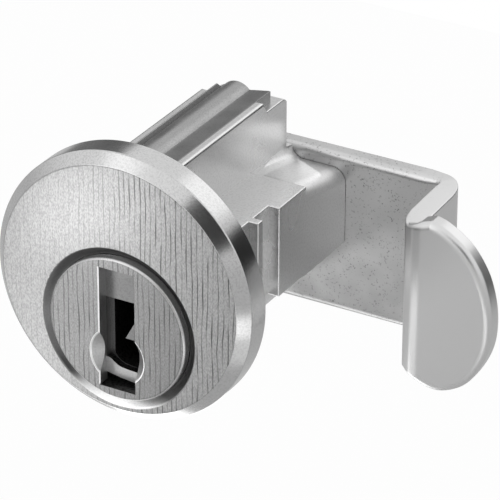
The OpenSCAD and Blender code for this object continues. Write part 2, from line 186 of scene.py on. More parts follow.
def finished(piece, node, body, sharpAbove):  # smooth shading, metres, and its place in the lock
    piece.data.set_sharp_from_angle(angle=math.radians(sharpAbove))
    for face in piece.data.polygons:
        face.use_smooth = True
    step = piece.modifiers.new("shading", "WEIGHTED_NORMAL")
    step.keep_sharp = True
    step.weight = 100
    baked(piece)
    piece.data.transform(Matrix.Scale(mm, 4))
    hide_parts(node)
    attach(piece, body)
    return piece


def roundedCorner(profile, at, size, steps=4):  # rounds one corner of an open outline
    a, b, c = (Vector(p) for p in profile[at - 1:at + 2])
    start = b + (a - b).normalized() * size
    end = b + (c - b).normalized() * size
    curve = []
    for i in range(steps + 1):
        t = i / steps
        curve.append(tuple(start * (1 - t) ** 2 + b * 2 * t * (1 - t) + end * t ** 2))
    return profile[:at] + curve + profile[at + 1:]


# Materials
# Pattern sizes are in mm. The brushed grain and the specks are set coarse enough to show in a small picture.

def linear(hexColour):
    def channel(v):
        return v / 12.92 if v <= 0.04045 else ((v + 0.055) / 1.055) ** 2.4
    return tuple(channel(int(hexColour[i:i + 2], 16) / 255) for i in (1, 3, 5)) + (1.0,)


def addNode(tree, kind, settings=None, links=None):
    node = tree.nodes.new(kind)
    for key, value in (settings or {}).items():
        if isinstance(key, str) and hasattr(node, key):
            setattr(node, key, value)
        else:
            node.inputs[key].default_value = value
    for key, source in (links or {}).items():
        tree.links.new(source, node.inputs[key])
    return node


def newMaterial(name, hexColour, roughness):
    material = bpy.data.materials.new(name)
    material.use_nodes = True
    tree = material.node_tree
    shader = tree.nodes["Principled BSDF"]
    shader.inputs["Base Color"].default_value = linear(hexColour)
    shader.inputs["Roughness"].default_value = roughness
    shader.inputs["Metallic"].default_value = 1.0
    return material, tree, shader


def mappedObject(tree, scale):  # the piece's own coordinates, stretched
    place = addNode(tree, "ShaderNodeTexCoord")
    mapped = addNode(tree, "ShaderNodeMapping", {"Scale": scale}, {"Vector": place.outputs["Object"]})
    return mapped.outputs["Vector"]


def objectAxis(tree, axis):  # how far a point lies along one axis of the piece
    place = addNode(tree, "ShaderNodeTexCoord")
    parts = addNode(tree, "ShaderNodeSeparateXYZ", None, {0: place.outputs["Object"]})
    return parts.outputs[axis]


def stretchedNoise(tree, spacing, detail=2.0, rough=0.5):  # spacing is the grain along x, y and z, in mm
    mapped = mappedObject(tree, tuple(1 / (s * mm) for s in spacing))
    noise = addNode(tree, "ShaderNodeTexNoise", {"Scale": 1.0, "Detail": detail, "Roughness": rough},
                    {"Vector": mapped})
    return noise.outputs["Fac"]


def ramp(tree, source, band, start, end):  # start and end are the values at the two ends of the band
    made = addNode(tree, "ShaderNodeMapRange",
                   {"From Min": band[0], "From Max": band[1], "To Min": start, "To Max": end},
                   {"Value": source})
    return made.outputs[0]


def placeRamp(tree, axis, band, start, end):  # a ramp between two places along an axis, in mm
    return ramp(tree, objectAxis(tree, axis), [b * mm for b in band], start, end)


def product(tree, a, b):
    return addNode(tree, "ShaderNodeMath", {"operation": "MULTIPLY"}, {0: a, 1: b}).outputs[0]


def blend(tree, share, start, end):  # start and end are hex colours, or outputs of other nodes
    settings, links = {"data_type": "RGBA"}, {0: share}
    for key, colour in ((6, start), (7, end)):
        if isinstance(colour, str):
            settings[key] = linear(colour)
        else:
            links[key] = colour
    return addNode(tree, "ShaderNodeMix", settings, links).outputs[2]


def addRelief(tree, shader, height, relief):  # relief holds a strength, and a depth in mm
    strength, depth = relief
    bump = addNode(tree, "ShaderNodeBump", {"Strength": strength, "Distance": depth * mm}, {"Height": height})
    tree.links.new(bump.outputs[0], shader.inputs["Normal"])


satinNickel = {
    "bezel": ("#b4b4b4", "#929292"), "plug": ("#9c9c9c", "#7e7e7e"),  # light and dark tone of the grain
    "bezelLines": (-5.0, 3.0), "plugLines": (-12.0, -7.5),  # x where the hair lines start to grow, and are full
    "line": "#5c5c5c", "roughness": 0.38,
    "grain": 0.10, "grainLength": 0.24, "grainBand": (0.32, 0.68),
    "lineGap": 0.54, "lineWander": 3.6, "wanderLength": 1.8, "lineBand": (0.82, 0.98), "lineLeast": 0.2,
    "breakGap": 0.7, "breakLength": 4.0, "breakDepth": 400.0, "breakBand": (0.36, 0.60), "breakLeast": 0.1,
    "relief": (0.3, 0.012),
}


def satinNickelMaterial(name, tones, lines):
    # Nickel plate on zinc, belt-brushed up and down: a fine upright grain, crossed by thin dark hair lines that
    # wander, break off and grow clearer towards the right
    s = satinNickel
    light, dark = tones
    material, tree, shader = newMaterial(name, light, s["roughness"])
    grain = stretchedNoise(tree, (s["grain"], s["grain"], s["grainLength"]), 2.0, 0.6)
    grainTone = ramp(tree, grain, s["grainBand"], 0.0, 1.0)
    # math.pi / 10 gives one band of the wave for each unit of length
    hair = addNode(tree, "ShaderNodeTexWave", {"bands_direction": "X", "Scale": math.pi / 10,
                                               "Distortion": s["lineWander"], "Detail": 2.0},
                   {"Vector": mappedObject(tree, (1 / (s["lineGap"] * mm), 1.0, 1 / (s["wanderLength"] * mm)))})
    thin = ramp(tree, hair.outputs["Fac"], s["lineBand"], 0.0, 1.0)
    side = placeRamp(tree, "X", lines, s["lineLeast"], 1.0)
    breaks = stretchedNoise(tree, (s["breakGap"], s["breakDepth"], s["breakLength"]), 1.0)
    shown = ramp(tree, breaks, s["breakBand"], s["breakLeast"], 1.0)
    drawn = product(tree, thin, product(tree, side, shown))
    colour = blend(tree, drawn, blend(tree, grainTone, dark, light), s["line"])
    tree.links.new(colour, shader.inputs["Base Color"])
    depth = addNode(tree, "ShaderNodeMath", {"operation": "SUBTRACT"}, {0: grainTone, 1: drawn})
    addRelief(tree, shader, depth.outputs[0], s["relief"])
    return material


coveNickel = {
    # The dark tone is painted shade in the cove, and the bright tone is a painted highlight at its bottom
    "dark": "#7a7a7a", "paintedHighlight": "#e6e6e6", "roughness": 0.30,
    "paintedHighlightBand": (-6.0, -7.5),  # height above the plug's axis where the bright tone starts, and is full
    "speckle": 0.14, "speckBand": (0.3, 0.6), "speckTone": 0.88,
}


def coveMaterial():
    # Nickel in the cove round the plug: dark with painted shade, and lightened at the bottom by a painted
    # highlight
    s = coveNickel
    material, tree, shader = newMaterial("paintedShadeCoveNickel", s["dark"], s["roughness"])
    paintedHighlight = placeRamp(tree, "Z", [plugZ + z for z in s["paintedHighlightBand"]], 0.0, 1.0)
    tone = ramp(tree, stretchedNoise(tree, (s["speckle"],) * 3), s["speckBand"], s["speckTone"], 1.0)
    colour = addNode(tree, "ShaderNodeMix", {"data_type": "RGBA", "blend_type": "MULTIPLY", 0: 1.0},
                     {6: blend(tree, paintedHighlight, s["dark"], s["paintedHighlight"]), 7: tone})
    tree.links.new(colour.outputs[2], shader.inputs["Base Color"])
    return material


stampedZinc = {
    # The plate tone is painted shade on the cam plate behind the case; the tab stays light
    "light": "#cccccc", "plate": "#989898", "speck": "#606060", "roughness": 0.33,
    "plateShadeBand": (15.0, 20.5),  # x where the painted shade of the plate ends, and the light tab starts
    "greyBand": (-9.0, 3.0), "greyLeast": 0.3,  # z where the plate is greyest, and lightest
    "cloud": 5.0, "cloudBand": (0.35, 0.65), "cloudLeast": 0.55,
    "speckle": 0.22, "speckBand": (0.40, 0.30), "speckShare": 0.8, "relief": (0.2, 0.01),
}


def stampedMaterial():
    # Zinc plate on stamped steel: satin and light on the tab, greyer with painted shade on the plate and darker
    # towards the bottom, with fine dark specks
    s = stampedZinc
    material, tree, shader = newMaterial("zincPlatedStampedSteel", s["light"], s["roughness"])
    clouds = ramp(tree, stretchedNoise(tree, (s["cloud"],) * 3), s["cloudBand"], s["cloudLeast"], 1.0)
    # Painted shade: the plate is greyer than the tab, and darker towards the bottom
    share = product(tree, placeRamp(tree, "X", s["plateShadeBand"], 1.0, 0.0), clouds)
    grey = product(tree, share, placeRamp(tree, "Z", s["greyBand"], 1.0, s["greyLeast"]))
    specks = stretchedNoise(tree, (s["speckle"],) * 3, 2.0, 0.6)
    dots = product(tree, share, ramp(tree, specks, s["speckBand"], 0.0, s["speckShare"]))
    colour = blend(tree, dots, blend(tree, grey, s["light"], s["plate"]), s["speck"])
    tree.links.new(colour, shader.inputs["Base Color"])
    addRelief(tree, shader, specks, s["relief"])
    return material


plating = {
    "speckBand": (0.33, 0.55), "glossBand": (0.3, 0.7), "glossier": 0.03, "duller": 0.04,
    "relief": (0.25, 0.006),
}


def platedMaterial(name, light, dark, roughness, wave, speckle):
    # Smooth metal: a soft mirror with slow changes of gloss, and a fine speckle
    s = plating
    material, tree, shader = newMaterial(name, light, roughness)
    specks = stretchedNoise(tree, (speckle,) * 3)
    colour = blend(tree, ramp(tree, specks, s["speckBand"], 0.0, 1.0), dark, light)
    tree.links.new(colour, shader.inputs["Base Color"])
    waves = stretchedNoise(tree, (wave,) * 3, 1.5)
    rough = ramp(tree, waves, s["glossBand"], roughness - s["glossier"], roughness + s["duller"])
    tree.links.new(rough, shader.inputs["Roughness"])
    addRelief(tree, shader, specks, s["relief"])
    return material


def paint(piece, materials, choose=None):  # choose gives each face the number of its material
    piece.data.materials.clear()
    for m in materials:
        piece.data.materials.append(m)
    for face in piece.data.polygons:
        face.material_index = choose(face) if choose else 0


# Light and dark tone, roughness, and the size of the gloss waves and of the specks
platedFinishes = {
    "turnedNickelSink": ("#bcbcbc", "#b2b2b2", 0.45, 3.0, 0.20),  # soft grey countersink, step and slot walls
    # Painted highlight: a light line along the slot's sharp edges
    "paintedHighlightEdge": ("#e8e8e8", "#e2e2e2", 0.30, 3.0, 0.20),  # light line along the slot
    "polishedNickelRim": ("#c0c0c0", "#b6b6b6", 0.18, 5.0, 0.20),  # clear bands of light and dark round the rim
    "nickelPlatedZincCasting": ("#cecece", "#c2c2c2", 0.28, 6.0, 0.20),  # bright body with soft reflections
    # Rougher as-cast finish on the wing tops, painted paler on their upward faces as painted light
    "rawCastingPaintedLight": ("#dadada", "#cecece", 0.42, 6.0, 0.20),  # pale, even wing tops
    "nickelPlatedZincPlug": ("#c2c2c2", "#b3b3b3", 0.28, 4.0, 0.14),  # bright round side of the plug
    # Painted shade: the slot floor is painted dark grey
    "paintedShadeSlot": ("#828282", "#787878", 0.40, 3.0, 0.14),  # dark grey slot floor
    # Painted shadow: the deep keyway is painted nearly black
    "paintedShadowKeyway": ("#454545", "#1c1c1c", 0.50, 1.0, 0.25),  # nearly black keyway
    "drawnPlatedStrip": ("#9a9a9a", "#888888", 0.33, 2.5, 0.12),  # cover a shade greyer than the case
    "zincPlatedScrewSteel": ("#b9bab6", "#9c9d99", 0.30, 3.0, 0.12),  # warm grey screw and washers
    "turnedBrass": ("#d9b45c", "#b9903e", 0.26, 2.0, 0.10),  # yellow pins
    "brightSpringWire": ("#c9cacb", "#a9aaab", 0.22, 1.0, 0.10),  # bright thin wire
}
metal = {name: platedMaterial(name, *look) for name, look in platedFinishes.items()}
faceNickel = satinNickelMaterial("satinBrushedNickel", satinNickel["bezel"], satinNickel["bezelLines"])
plugFaceNickel = satinNickelMaterial("satinBrushedNickelPlug", satinNickel["plug"], satinNickel["plugLines"])
grooveNickel = coveMaterial()
camZinc = stampedMaterial()
print("materials done")


# Case: bezel, shank, wings, pin housing and shell, one casting

case = {
    "rim": 2.47, "bevel": 1.06, "edge": 0.10, "bodyEdge": 0.16, "housingEdge": 0.13,
    "coveR": 7.95, "coveLip": 0.25, "coveDepth": 0.6, "coveHollow": 1.36,  # a hollow of 1 makes a straight cone
    "headGap": 0.05, "bodyGap": 0.08, "headLength": 2.45,
    "shankHalf": 8.05, "shankSunk": 0.3, "wingTop": 4.75, "wingBottom": -4.6,
    "lipFront": 6.4, "lipBack": 7.35, "lipInset": 0.15,
    "wingHalf": 9.2, "wingFront": 10.1, "wingBack": 15.3,
    "castDrop": 1.58, "castCorner": 1.5, "castFillet": 1.25, "castSunk": 0.8, "castStart": 0.6, "camSeam": 0.05,
    "housingHalf": 3.4, "housingTop": 11.05, "wallEdge": 0.3, "lipEnd": 17.3, "lipFoot": 18.0,
    "blockDrop": 1.15, "rearStep": 0.78, "rearCorner": 1.2, "rearEdge": 0.5, "trimGap": 0.02,
    "shellWall": 0.77, "shellEdge": 0.1, "channelFront": 1.0, "channelFloor": 9.55,
    "chamberDia": 2.6, "firstPin": 2.9, "pinPitch": 3.5, "pinCount": 5,
    "stopReach": 1.45, "stopDepth": 1.48, "lugAngle": 20, "lugHalf": 1.22, "turn": 90,
}


def buildBezel():
    c = case
    r, face = -caseLow.x, caseLow.y
    profile = [(0, 0), (r, 0), (r, -c["rim"]), (r - c["bevel"], face), (0, face)]
    for at in (3, 2, 1):
        profile = roundedCorner(profile, at, c["edge"])
    return turned("case", profile, steps=256)


def castSection(y):  # section of the wings, with round outer corners and hollow fillets to the housing
    c = case
    drop = max(0, c["castDrop"] * (y - c["wingBack"]) / (caseHigh.y - c["wingBack"]))
    top = c["wingTop"] - drop
    corner, fillet = c["castCorner"], c["castFillet"]
    right = [(c["wingHalf"], c["wingBottom"])]
    right += arc(c["wingHalf"] - corner, top - corner, corner, 0, 90, 10)
    right += arc(c["housingHalf"] + fillet, top + fillet, fillet, 270, 180, 10)
    right += [(c["housingHalf"] - c["castSunk"], top + fillet)]
    left = [(-x, z) for x, z in reversed(right)]
    return [(x, y, z) for x, z in right + left]


def buildHousing():
    c = case
    top = c["housingTop"]
    block = top - c["blockDrop"]
    rear = caseHigh.y - c["rearStep"]
    corner, edge, half, wall = c["rearCorner"], c["rearEdge"], c["housingHalf"], c["wallEdge"]
    side = [(-overlap, 0), (rear, 0)] + arc(rear - corner, block - corner, corner, 0, 90, 12)
    side += [(c["lipFoot"], block), (c["lipEnd"], top), (-overlap, top)]
    housing = roundEdges(prismX("housing", side, -half, half), c["housingEdge"])
    out = half + c["trimGap"]
    plan = [(-out, -clear), (out, -clear)] + arc(out - edge, rear - edge, edge, 0, 90, 8)
    plan += arc(-out + edge, rear - edge, edge, 90, 180, 8)
    section = [(-out, -clear), (out, -clear)] + arc(half - wall, top - wall, wall, 0, 90, 6)
    section += arc(-half + wall, top - wall, wall, 90, 180, 6)
    limits = [prismZ("plan", plan, -clear, top + clear), prismY("section", section, -clear, rear + clear)]
    return combine(housing, limits, "INTERSECT")


def coveProfile():  # from the front face over a round lip and down the hollow cove to the plug's head
    c = case
    head = plugHeadR + c["headGap"]
    outer, lip, face = c["coveR"] + c["coveLip"], c["coveLip"], caseLow.y
    profile = [(0, face - clear), (outer, face - clear)] + arc(outer, face + lip, lip, 270, 225, 4)
    startR, start = profile[-1]
    steps = 12
    for i in range(1, steps + 1):
        t = i / steps
        deep = start + (face + c["coveDepth"] - start) * (1 - (1 - t) ** c["coveHollow"])
        profile.append((startR + (head - startR) * t, deep))
    return profile


def pinChambers(z0, z1):
    c = case
    return [turnedUp("chamber", c["chamberDia"] / 2, c["firstPin"] + i * c["pinPitch"], z0, z1)
            for i in range(c["pinCount"])]


def stopPocket():  # quarter-turn pocket for the stop washer's lug
    c = case
    outer = plugBodyR + c["stopReach"]
    lug = math.degrees(math.asin(c["lugHalf"] / outer))
    ring = [(0, 0)] + arc(0, 0, outer, c["lugAngle"] - lug, c["lugAngle"] + c["turn"] + lug, 24)
    return prismY("pocket", onPlug(ring), caseHigh.y - c["stopDepth"], caseHigh.y + clear)


def buildCase():
    c = case
    low, high, rear = c["wingBottom"], c["wingTop"], caseHigh.y
    body = buildBezel()
    shank = prismY("shank", boxOutline(c["shankHalf"], low, high), -overlap, c["wingFront"] + c["shankSunk"])
    lip = prismY("lip", boxOutline(c["wingHalf"] - c["lipInset"], low, high), c["lipFront"], c["lipBack"])
    wing = prismY("wing", boxOutline(c["wingHalf"], low, high), c["wingFront"], c["wingBack"])
    adds = [roundEdges(p, c["bodyEdge"]) for p in (shank, lip, wing)]
    sections = (c["wingBack"] - c["castStart"], c["wingBack"], rear + c["camSeam"])
    cast = loft("cast", [castSection(y) for y in sections])
    limit = prismY("castLimit", boxOutline(c["wingHalf"] + clear, low - clear, high), 0, rear + clear)
    combine(cast, [limit], "INTERSECT")
    bore = plugBodyR + c["bodyGap"]
    shell, edge = bore + c["shellWall"], c["shellEdge"]
    tube = [(0, -overlap), (shell, -overlap), (shell, rear - edge), (shell - edge, rear), (0, rear)]
    combine(body, adds + [cast, turned("tube", tube, 0, plugZ), buildHousing()], "UNION")
    seat = plugLow.y + c["headLength"]
    profile = coveProfile() + [(plugHeadR + c["headGap"], seat), (bore, seat), (bore, rear + clear),
                               (0, rear + clear)]
    combine(body, [turned("plugSpace", profile, 0, plugZ)], "DIFFERENCE")
    channel = boxOutline(coverHalf, c["channelFloor"], c["housingTop"] + clear)
    combine(body, [prismY("channel", channel, c["channelFront"], coverHigh.y)], "DIFFERENCE")
    combine(body, pinChambers(plugZ, c["channelFloor"] + clear) + [stopPocket()], "DIFFERENCE")
    return body


# Plug: turned body with a slotted head, a warded keyway and a flat-sided tail. Heights are from its axis, and
# outlines hold (x, z).

plug = {
    "headLength": 2.4, "edge": 0.3, "slotHalf": 1.87, "slotTop": 6.12, "slotBottom": -6.25, "slotDepth": 1.3,
    "slotEdge": 0.1, "keywayRight": 1.2, "keywayLeft": -1.42, "keywayTop": 2.5, "mouthDepth": 0.75,
    "mouthBottom": [(-1.87, -3.85), (-1.62, -3.88), (-1.36, -4.0), (-1.07, -4.22), (-0.72, -4.45),
                    (-0.32, -4.6), (0.3, -4.66), (1.0, -4.7), (1.87, -4.75)],
    "keywayFoot": [(-1.42, -3.5), (-1.3, -3.82), (-1.02, -4.14), (-0.66, -4.38), (-0.28, -4.54), (0.3, -4.62),
                   (1.2, -4.68)],
    "stepBottom": [(1.87, -5.97), (1.1, -5.88), (-0.36, -5.74), (-1.87, -5.47)],
    "keywayFloor": -3.7, "wardRise": 1.1, "wardTop": 0.83, "wardTip": (-0.3, -1.9),
    "pocketStart": 0.2, "pocketWall": 0.45, "mouthStart": 0.5, "keywayStart": 0.1, "keywayEnd": 18.9,
    "countersinkDia": 5.7, "countersinkDrop": 2.82, "countersinkEdge": 0.09,
    "tailDia": 8.4, "tailFlats": 6.2, "camGap": 0.1, "stopWasher": 1.5,
    "screwDia": 4.04, "screwStart": 19.6, "screwEnd": 30, "chamberFloor": 0.5,
}


def plugBlank():  # the plug before anything is cut into it
    p = plug
    front, r, body = plugLow.y, plugHeadR, plugBodyR
    shoulder = front + p["headLength"]
    stop = caseHigh.y + p["camGap"] - p["stopWasher"]
    profile = [(0, front)] + arc(r - p["edge"], front + p["edge"], p["edge"], 270, 360, 8)
    profile += [(r, shoulder), (body, shoulder), (body, stop), (0, stop)]
    tail = onPlug(flatted(p["tailDia"], p["tailFlats"], 96))
    return combine(turned("plug", profile, 0, plugZ), [prismY("tail", tail, stop - clear, plugHigh.y)], "UNION")


def keywayCuts(step):  # step is the y of the slot's floor
    p = plug
    half, right, left, top = p["slotHalf"], p["keywayRight"], p["keywayLeft"], p["keywayTop"]
    back = step + p["mouthDepth"]
    under = onPlug([(-half, p["slotBottom"]), (half, p["slotBottom"])] + p["stepBottom"])
    pocket = prismY("pocket", under, step - p["pocketStart"], plugLow.y + p["headLength"] - p["pocketWall"])
    mouth = onPlug([(half, top), (-half, top)] + p["mouthBottom"])
    lead = prismY("mouth", mouth, step - p["mouthStart"], back)
    way = prismY("keyway", onPlug([(right, top), (left, top)] + p["keywayFoot"]), step + p["keywayStart"],
                 p["keywayEnd"])
    tipX, tipZ = p["wardTip"]
    ward = onPlug([(right + clear, p["wardRise"]), (right, p["wardTop"]), (tipX, tipZ), (right + clear, tipZ)])
    combine(way, [prismY("ward", ward, back, p["keywayEnd"] + clear)], "DIFFERENCE")
    return [pocket, lead, way]


def buildPlug():
    p = plug
    front = plugLow.y
    step = front + p["slotDepth"]
    half, edge = p["slotHalf"], p["slotEdge"]
    across = half + edge + clear
    mouth = [(-half, step), (-half, front + edge), (-across, front - clear), (across, front - clear),
             (half, front + edge), (half, step)]
    slot = prismZ("slot", mouth, plugZ + p["slotBottom"], plugZ + p["slotTop"])
    sinkR, edge = p["countersinkDia"] / 2, p["countersinkEdge"]
    cone = [(0, front - clear), (sinkR + edge + clear, front - clear), (sinkR + edge, front),
            (sinkR - edge, front + edge), (0, front + sinkR)]
    sink = turned("sink", cone, 0, plugZ - p["countersinkDrop"], 96)
    screwR, start, end = p["screwDia"] / 2, p["screwStart"], p["screwEnd"]
    screwHole = turned("screwHole", [(0, start), (screwR, start), (screwR, end), (0, end)], 0, plugZ, 48)
    chambers = pinChambers(plugZ - p["chamberFloor"], plugZ + plugBodyR + clear)
    return combine(plugBlank(), [slot] + keywayCuts(step) + [sink, screwHole] + chambers, "DIFFERENCE")


# Chamber cover: drawn strip with a round rib on the left and a rising flange on the right

cover = {
    "floor": 9.55, "top": 11.05, "ribX": -0.95, "ribZ": 9.5, "ribR": 1.78, "foot": 1.4, "ribStart": 2.2,
    "valleyZ": 10.7, "valleyStart": 0.1, "valleyEnd": 0.35, "valleyRise": 0.06,
    "lip": 0.12, "lipRise": 0.04, "flange": 0.25, "slope": 1.1, "lowEnd": 3, "edge": 0.04, "trim": 0.01,
}


def buildCover():
    c = cover
    half, floor, top, trim = coverHalf, c["floor"], c["top"], c["trim"]
    lipTop = top + c["lipRise"]
    right = math.degrees(math.asin((c["valleyZ"] - c["ribZ"]) / c["ribR"]))
    left = math.degrees(math.acos(-c["foot"] / c["ribR"]))
    ribFoot = c["ribX"] + c["foot"]
    outline = [(-half, floor), (half, floor), (half, top), (half - c["flange"], top)]
    outline += [(ribFoot + c["valleyEnd"], c["valleyZ"] + c["valleyRise"]),
                (ribFoot + c["valleyStart"], c["valleyZ"])]
    outline += arc(c["ribX"], c["ribZ"], c["ribR"], right, left, 24)
    outline += [(-half + c["lip"], lipTop), (-half, lipTop)]
    strip = prismY("chamber_cover", outline, c["ribStart"], coverHigh.y)
    roundEdges(strip, c["edge"], 2, 50)
    end, slope = coverHigh.y, c["slope"]
    cut = [(end - slope, lipTop), (end + trim, top - slope), (end + clear, top - slope),
           (end + clear, top + clear), (end - slope, top + clear)]
    combine(strip, [prismX("slope", cut, -half - clear, c["ribX"] - c["foot"] - 2 * trim)], "DIFFERENCE")
    low = boxOutline(half - trim, floor + trim, c["valleyZ"] - trim)
    return combine(strip, [prismY("low", low, case["channelFront"], c["lowEnd"])], "UNION")


# Cam: stamped plate, bent forward and out again, with rolled front edges

cam = {
    "thickness": 1.9, "halfHeight": 8.4, "reach": 19.2, "bend": 0.5, "tabNeck": 8.72,
    "roll": 0.75, "flangeRoll": 0.15, "flangeFall": 0.6, "backEdge": 0.12, "holeDia": 8.48, "holeFlats": 6.28,
    "roundSteps": 48, "plateSteps": 16, "bendSteps": 10, "rollSteps": 8, "neck": (0.3, 0.6),
    "tab": [(22.5, 8.72), (23.3, 8.56), (24.0, 8.27), (24.7, 7.88), (25.4, 7.42), (26.1, 6.87), (26.75, 6.2),
            (27.4, 5.33), (28.0, 4.3), (28.4, 3.34), (28.72, 2.25), (28.96, 1.1), (29.07, 0.0), (29.09, -1.0),
            (29.01, -2.2), (28.76, -3.4), (28.36, -4.5), (27.86, -5.5), (27.35, -6.35), (26.85, -7.05),
            (26.2, -7.68), (25.45, -8.18), (24.65, -8.56), (23.9, -8.78), (23.2, -8.82), (22.5, -8.72)],
}


def camLengths():  # along the sheet's middle: the plate from the axis on, one bend, and the flange
    c = cam
    mid = c["bend"] + c["thickness"] / 2
    straight = c["reach"] - c["bend"]
    turn = mid * math.pi / 2
    flange = (camHigh.y - camLow.y - c["thickness"]) - 2 * mid
    return straight, turn, flange


def camBends():  # distances along the sheet where each of its two bends starts and ends
    straight, turn, flange = camLengths()
    firstEnd = straight + turn
    secondStart = firstEnd + flange
    return straight, firstEnd, secondStart, secondStart + turn


def camPath(s):  # distance along the sheet's middle -> (x, y, direction), from the plug's axis
    c = cam
    t = c["thickness"]
    mid = c["bend"] + t / 2
    plateY = camHigh.y - t / 2
    tabY = camLow.y + t / 2
    straight, turn, flange = camLengths()
    if s <= straight:
        return s, plateY, 0.0
    s -= straight
    if s <= turn:
        a = s / mid
        return straight + mid * math.sin(a), plateY - mid * (1 - math.cos(a)), -a
    s -= turn
    x = straight + mid
    y = plateY - mid
    if s <= flange:
        return x, y - s, -math.pi / 2
    s -= flange
    y -= flange
    if s <= turn:
        a = s / mid
        return x + mid * (1 - math.cos(a)), y - mid * math.sin(a), -math.pi / 2 + a
    return x + mid + (s - turn), tabY, 0.0


def camEdge(s):  # half height of the sheet, fall of its top across the sheet, and roll of its front edge
    # Rows hold the distance along the sheet and the three values there, read off the photo
    c = cam
    turn = camLengths()[1]
    firstStart, firstEnd, secondStart, secondEnd = camBends()
    full, roll, small, fall = c["halfHeight"], c["roll"], c["flangeRoll"], c["flangeFall"]
    rows = [
        (0, full, 0, roll),
        (firstStart - 1.2, full, 0, roll),
        (firstStart + turn / 2, full + 0.02, fall * 0.4, roll * 0.6),
        (firstEnd + 0.3, full - 0.07, fall, small),
        (secondStart - 0.3, full - 0.33, fall, small),
        (secondStart + turn / 2, full - 0.73, fall * 0.4, roll * 0.5),
        (secondEnd, full + 0.02, 0, roll),
        (secondEnd + 0.9, c["tabNeck"], 0, roll),
        (secondEnd + 9, c["tabNeck"], 0, roll),
    ]
    for low, high in zip(rows, rows[1:]):
        if s <= high[0]:
            t = (s - low[0]) / (high[0] - low[0])
            return [low[i] + (high[i] - low[i]) * t for i in (1, 2, 3)]
    return list(rows[-1][1:])


def smoothCurve(points, steps=3):  # Catmull-Rom curve through the points
    curve = []
    for k in range(1, len(points) - 2):
        a, b, c, d = (Vector(p) for p in points[k - 1:k + 3])
        for i in range(steps):
            t = i / steps
            curve.append(tuple(0.5 * (2 * b + (c - a) * t + (2 * a - 5 * b + 4 * c - d) * t ** 2
                                      + (3 * b - a - 3 * c + d) * t ** 3)))
    return curve + [tuple(points[-2])]


def camRim():  # flat outline of the sheet as (s, z, outward s, outward z, fall, roll)
    c = cam
    straight, turn, flange = camLengths()
    firstStart, firstEnd, secondStart, secondEnd = camBends()
    shift = secondEnd - (c["reach"] + c["thickness"] + c["bend"])
    plate, bend = c["plateSteps"], c["bendSteps"]
    stops = [straight * i / plate for i in range(1, plate + 1)]
    for begin, length in ((firstStart, turn), (firstEnd, flange), (secondStart, turn)):
        stops += [begin + length * i / bend for i in range(1, bend + 1)]
    stops += [secondEnd + s for s in c["neck"]]
    top = [(s, camEdge(s)[0]) for s in stops]
    tab = [(x + shift, z) for x, z in c["tab"]]
    tab = smoothCurve([top[-1]] + tab + [(top[-1][0], -top[-1][1])])
    end = c["halfHeight"]
    left = arc(0, 0, end, 270, 90, c["roundSteps"])
    bottom = [(s, -z) for s, z in reversed(top)]
    flat = left + top + tab + bottom
    rim = []
    for i, (s, z) in enumerate(flat):
        before, after = flat[i - 1], flat[(i + 1) % len(flat)]
        along = Vector((after[0] - before[0], after[1] - before[1])).normalized()
        _, fall, roll = camEdge(max(s, 0))
        rim.append((s, z, -along.y, along.x, fall, roll))
    return rim


def insideHole(p):
    c = cam
    return p.length < c["holeDia"] / 2 - 1e-4 and abs(p.y) < c["holeFlats"] / 2 - 1e-4


